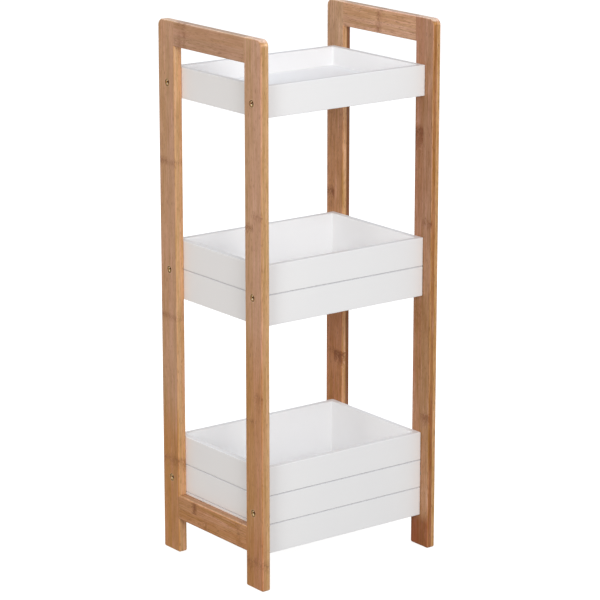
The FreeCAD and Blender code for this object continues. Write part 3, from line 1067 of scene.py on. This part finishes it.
@dataclass
class Tray:
    """One white tray: four boards and a floor, with lacquer drawn into its inner corners.

    Attributes:
        name: The first words of its nodes' names.
        bead_radius: Radius of the lacquer's concave surface in the corners, in metres.
        bead_sink: How far the bead reaches into the boards, in metres.
        rim_clearance: How far below the rim the upright beads end, in metres.
        arc_steps: Faces across a bead.
    """

    name: str
    bead_radius: float = 1.6 * MM
    bead_sink: float = 0.15 * MM
    rim_clearance: float = 1.2 * MM
    arc_steps: int = 8

    def inside(self) -> tuple[Vector, Vector]:
        """Work out the room inside the boards, from the floor up to the rim.

        Returns:
            Its lowest and highest corners.
        """
        left, right, front, back, floor = (
            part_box(f"{self.name}_{part}")
            for part in ("left_board", "right_board", "front_board", "back_board", "floor"))
        return Vector((left[1].x, front[1].y, floor[1].z)), Vector((right[0].x, back[0].y, left[1].z))

    def dress(self, lacquer: Material, floor_coat: Material, screw_steel: Material,
              dowel_wood: Material) -> None:
        """Give the tray's nodes their finishes.

        Args:
            lacquer: The boards' material.
            floor_coat: The floor's material.
            screw_steel: The screws' material.
            dowel_wood: The dowels' material.
        """
        for side in ("front", "back", "left", "right"):
            dress(f"{self.name}_{side}_board", lacquer)
        for part, material in (("floor", floor_coat), ("screws", screw_steel), ("dowels", dowel_wood)):
            dress(f"{self.name}_{part}", material)
        LOG.info("%s dressed", self.name)

    def bead_section(self) -> list[tuple[float, float]]:
        """Outline a bead across its run, from one wall over the concave arc to the other wall.

        Returns:
            Distances from the two walls, positive into the room.
        """
        radius, sink = self.bead_radius, self.bead_sink
        turns = [math.pi / 2 * step / self.arc_steps for step in range(self.arc_steps + 1)]
        arc = [(radius - radius * math.sin(turn), radius - radius * math.cos(turn)) for turn in turns]
        return [(radius, -sink)] + arc + [(-sink, radius), (-sink, -sink)]

    def build_beads(self, lacquer: Material) -> None:
        """Build the lacquer that has drawn into the inner corners, as one piece that rides on the unit.

        Args:
            lacquer: The film's material.
        """
        low, high = self.inside()
        mesh = bmesh.new()
        corners = (
            (low.x, low.y, 1, 1), (high.x, low.y, -1, 1), (high.x, high.y, -1, -1), (low.x, high.y, 1, -1))
        section = self.bead_section()
        rings = []
        for x, y, inward_x, inward_y in corners:
            rings.append([mesh.verts.new((x + inward_x * out, y + inward_y * out, low.z + up))
                          for out, up in section])
        self._bridge(mesh, rings + rings[:1])
        top = high.z - self.rim_clearance
        for x, y, inward_x, inward_y in corners:
            ends = [[mesh.verts.new((x + inward_x * a, y + inward_y * b, z)) for a, b in section]
                    for z in (low.z, top)]
            self._bridge(mesh, ends)
            for end in ends:
                mesh.faces.new(end)
        bmesh.ops.recalc_face_normals(mesh, faces=mesh.faces[:])
        data = bpy.data.meshes.new(f"{self.name}_corner_lacquer")
        mesh.to_mesh(data)
        mesh.free()
        piece = bpy.data.objects.new(data.name, data)
        bpy.context.scene.collection.objects.link(piece)
        data.materials.append(lacquer)
        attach(piece, BODY)
        LOG.info("%s built, %d faces", piece.name, len(data.polygons))

    @staticmethod
    def _bridge(mesh: bmesh.types.BMesh, rings: list[list[bmesh.types.BMVert]]) -> None:
        """Join each ring of points to the next with four-sided faces.

        Args:
            mesh: The mesh that gets the faces.
            rings: The rings in order.
        """
        for ring, following in zip(rings, rings[1:]):
            for index, corner in enumerate(ring):
                after = (index + 1) % len(ring)
                mesh.faces.new((corner, ring[after], following[after], following[index]))


@dataclass
class Softbox:
    """A square soft light that looks at the middle of the unit.

    Attributes:
        name: The light's name.
        azimuth: Where it stands, in degrees: 0 is in front and 90 is at the right.
        elevation: How high it stands over the horizon, in degrees.
        power: Its power in watts.
        distance: How far it is from the middle of the unit, in metres.
        side: Length of its sides, in metres.
    """

    name: str
    azimuth: float
    elevation: float
    power: float
    distance: float = 3.0
    side: float = 0.9

    def build(self, target: Vector) -> None:
        """Put the light in the scene.

        Args:
            target: The point that it looks at.
        """
        turn, rise = math.radians(self.azimuth), math.radians(self.elevation)
        level = math.cos(rise)
        towards = Vector((math.sin(turn) * level, -math.cos(turn) * level, math.sin(rise)))
        data = bpy.data.lights.new(self.name, "AREA")
        data.shape = "SQUARE"
        data.size = self.side
        data.energy = self.power
        lamp = bpy.data.objects.new(self.name, data)
        lamp.location = target + towards * self.distance
        lamp.rotation_euler = (-towards).to_track_quat("-Z", "Y").to_euler()
        bpy.context.scene.collection.objects.link(lamp)
        LOG.info("%s set up", self.name)


@dataclass
class Studio:
    """The ground, the soft light and the camera.

    Attributes:
        ground_radius: Radius of the light table, in metres.
        ground_sides: Sides of the polygon that stands for its round outline.
        zenith: Brightness of the surroundings overhead.
        horizon: Their brightness at the horizon.
        nadir: Brightness of the light that the unit gets from below.
        haze: How far under the horizon that light takes over, where straight down is 1.
        left_wall: Tint of the light from the studio's left, where the light from its right is white.
        ceiling: Tint of the light from overhead.
        softboxes: The lamps.
        lens: The camera's focal length, in millimetres.
        sensor: Width of its sensor, in millimetres.
        camera_place: Where the camera stands, in metres.
        camera_yaw: Its turn from +Y to +X, in degrees.
        camera_pitch: How far it looks down, in degrees.
    """

    ground_radius: float = 12.0
    ground_sides: int = 96
    zenith: float = 0.86
    horizon: float = 0.45
    nadir: float = 0.37
    haze: float = 0.1
    left_wall: Tint = Tint("#FFF6ED", 1.0, 0.0, -0.6, Fade.EVEN)
    ceiling: Tint = Tint("#F2F7FF", 1.0, 0.3, 0.8, Fade.EVEN)
    softboxes: tuple[Softbox, ...] = (
        Softbox("key_softbox", azimuth=-20.0, elevation=22.5, power=29.6),
        Softbox("fill_softbox", azimuth=-60.0, elevation=15.0, power=19.5),
        Softbox("right_softbox", azimuth=90.0, elevation=8.0, power=24.0),
        Softbox("back_softbox", azimuth=180.0, elevation=8.0, power=24.0),
    )
    lens: float = 165.0
    sensor: float = 36.0
    camera_place: tuple[float, float, float] = (-2.3511, -3.1194, 1.4189)
    camera_yaw: float = 37.02
    camera_pitch: float = 14.856

    def build_ground(self) -> None:
        """Lay the round light table under the unit.

        The table shows white, but the light that the unit gets and reflects from below is set by the
        surroundings' nadir.
        """
        mesh = bmesh.new()
        bmesh.ops.create_circle(mesh, cap_ends=True, segments=self.ground_sides, radius=self.ground_radius)
        data = bpy.data.meshes.new("studio_ground")
        mesh.to_mesh(data)
        mesh.free()
        ground = bpy.data.objects.new(data.name, data)
        bpy.context.scene.collection.objects.link(ground)
        data.materials.append(LightTable().material())
        ground.visible_diffuse = False
        ground.visible_glossy = False
        ground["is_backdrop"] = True
        LOG.info("%s laid", ground.name)

    def build_surroundings(self) -> None:
        """Light the unit evenly from a cool white ceiling, from dimmer walls and a little from below."""
        world = bpy.data.worlds.new("white_studio")
        bpy.context.scene.world = world
        world.use_nodes = True
        tree = world.node_tree
        tree.nodes.clear()
        place = add_node(tree, "TexCoord").outputs["Generated"]
        axes = add_node(tree, "SeparateXYZ", {0: place}).outputs
        above = add_node(tree, "MapRange", {
            "Value": axes["Z"], "To Min": self.horizon, "To Max": self.zenith})
        strength = add_node(tree, "MapRange", {
            "Value": axes["Z"], "From Min": -self.haze, "From Max": 0.0, "To Min": self.nadir,
            "To Max": above})
        colour = tinted(tree, linear(WHITE), axes["X"], self.left_wall)
        colour = tinted(tree, colour, axes["Z"], self.ceiling)
        light = add_node(tree, "Background", {"Color": colour, "Strength": strength})
        add_node(tree, "OutputWorld", {"Surface": light})

    def build_camera(self) -> None:
        """Set up the camera at the photograph's angle."""
        yaw, pitch = math.radians(self.camera_yaw), math.radians(self.camera_pitch)
        level = math.cos(pitch)
        forward = Vector((math.sin(yaw) * level, math.cos(yaw) * level, -math.sin(pitch)))
        data = bpy.data.cameras.new("camera")
        data.lens = self.lens
        data.sensor_width = self.sensor
        camera = bpy.data.objects.new("camera", data)
        camera.location = self.camera_place
        camera.rotation_euler = forward.to_track_quat("-Z", "Y").to_euler()
        bpy.context.scene.collection.objects.link(camera)
        bpy.context.scene.camera = camera
        LOG.info("camera set up")

    def build(self, target: Vector) -> None:
        """Build the whole studio.

        Args:
            target: The point that the lamps look at.
        """
        self.build_ground()
        self.build_surroundings()
        for softbox in self.softboxes:
            softbox.build(target)
        self.build_camera()
        bpy.context.scene.view_settings.view_transform = "Standard"


def left_frame() -> SideFrame:
    """Describe the left side frame and the bamboo that each of its pieces is made of.

    Returns:
        The frame.
    """
    plies, sides = (Tone.SAND, Tone.HONEY), (Tone.APRICOT, Tone.STRAW)
    return SideFrame("left", (
        BambooPiece("left_front_post", Grain.UPRIGHT, plies, sides, (
            CulmNode(552.0, 0.5, 1.0, 6.0, strip=0), CulmNode(533.0, 0.7, 1.0, strip=1),
            CulmNode(290.0, 0.5, 1.0, 16.0, strip=0), CulmNode(252.0, 0.6, 1.0, strip=1),
            CulmNode(40.0, 0.6, 2.0, 10.0)), seed=1.0, changes=(
                ToneChange(Tone.TOFFEE, 430.0, 290.0), ToneChange(Tone.CARAMEL, 110.0, 70.0))),
        BambooPiece("left_back_post", Grain.UPRIGHT, plies, (Tone.PEACH, Tone.HONEY), (
            CulmNode(594.0, 0.6, 1.0), CulmNode(362.0, 0.5, 1.0), CulmNode(142.0, 0.55, 2.0, 12.0)),
            seed=2.0, changes=(ToneChange(Tone.TOFFEE, 265.0, 165.0),)),
        BambooPiece("left_handle_rail", Grain.LEVEL, (Tone.OAT, Tone.HONEY), sides, (
            CulmNode(71.0, 0.45, 2.0), CulmNode(59.0, 0.5, 2.0)), seed=3.0),
        BambooPiece("left_bottom_rail", Grain.LEVEL, (Tone.CARAMEL, Tone.HONEY), sides, (
            CulmNode(45.0, 0.8, 2.0, strip=1), CulmNode(16.0, 0.5, 2.0, strip=0),
            CulmNode(-68.0, 0.35, 3.0)), seed=4.0, top=Tone.ROSE, figure=1.5),
    ))


def right_frame() -> SideFrame:
    """Describe the right side frame in the same way.

    Returns:
        The frame.
    """
    plies, sides = (Tone.CHESTNUT, Tone.HONEY), (Tone.RUST, Tone.BISCUIT)
    return SideFrame("right", (
        BambooPiece("right_front_post", Grain.UPRIGHT, plies, sides, (
            CulmNode(636.0, 1.0, 1.0, 40.0, strip=1), CulmNode(500.0, 0.7, 1.0, 6.0, strip=0),
            CulmNode(372.0, 0.25, 1.0, 60.0, strip=1), CulmNode(205.0, 0.8, 2.0, 12.0, strip=0)),
            seed=5.0, figure=1.5, changes=(
                ToneChange(Tone.FAWN, 430.0, 350.0), ToneChange(Tone.FAWN, 265.0, 215.0, Tone.SIENNA),
                # The brick tone at the foot is painted shade near the ground.
                ToneChange(Tone.BRICK, 54.0, 34.0))),
        BambooPiece("right_back_post", Grain.UPRIGHT, (Tone.TAWNY, Tone.HONEY), (Tone.HONEY, Tone.UMBER), (
            CulmNode(508.0, 1.0, 1.0, 6.0, strip=1), CulmNode(254.0, 1.0, 2.0, 16.0, strip=0),
            CulmNode(257.0, 0.5, 1.0, strip=1), CulmNode(40.0, 0.6)), seed=6.0, figure=1.5, changes=(
                ToneChange(Tone.RUSSET, 500.0, 300.0), ToneChange(Tone.OAT, 660.0, 740.0))),
        BambooPiece("right_handle_rail", Grain.LEVEL, (Tone.AMBER, Tone.HONEY), sides, (
            CulmNode(0.0, 0.6, 2.0, 4.0),), seed=7.0, figure=1.3),
        BambooPiece("right_bottom_rail", Grain.LEVEL, plies, sides, (
            CulmNode(-30.0, 0.7),), seed=8.0, top=Tone.ROSE),
    ))


def main() -> None:
    """Dress the unit, build what its finish adds, and set up the studio."""
    logging.basicConfig(level=logging.INFO, format="%(message)s")
    cad_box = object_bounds()
    bamboo = LaminatedBamboo()
    dowel_wood = TurnedBeech().material()
    seats = ScrewSeats.of_trays(TRAYS)
    for side_frame in (left_frame(), right_frame()):
        side_frame.dress(bamboo, seats, dowel_wood)
    for name in TRAYS:
        tray = Tray(name)
        lacquer = SprayedLacquer().material(name)
        tray.dress(lacquer, RolledLacquerPaintedLight().material(name), YellowZinc().material(name, seats), dowel_wood)
        tray.build_beads(lacquer)
    Studio().build((cad_box[0] + cad_box[1]) / 2)


if __name__ == "__main__":
    main()
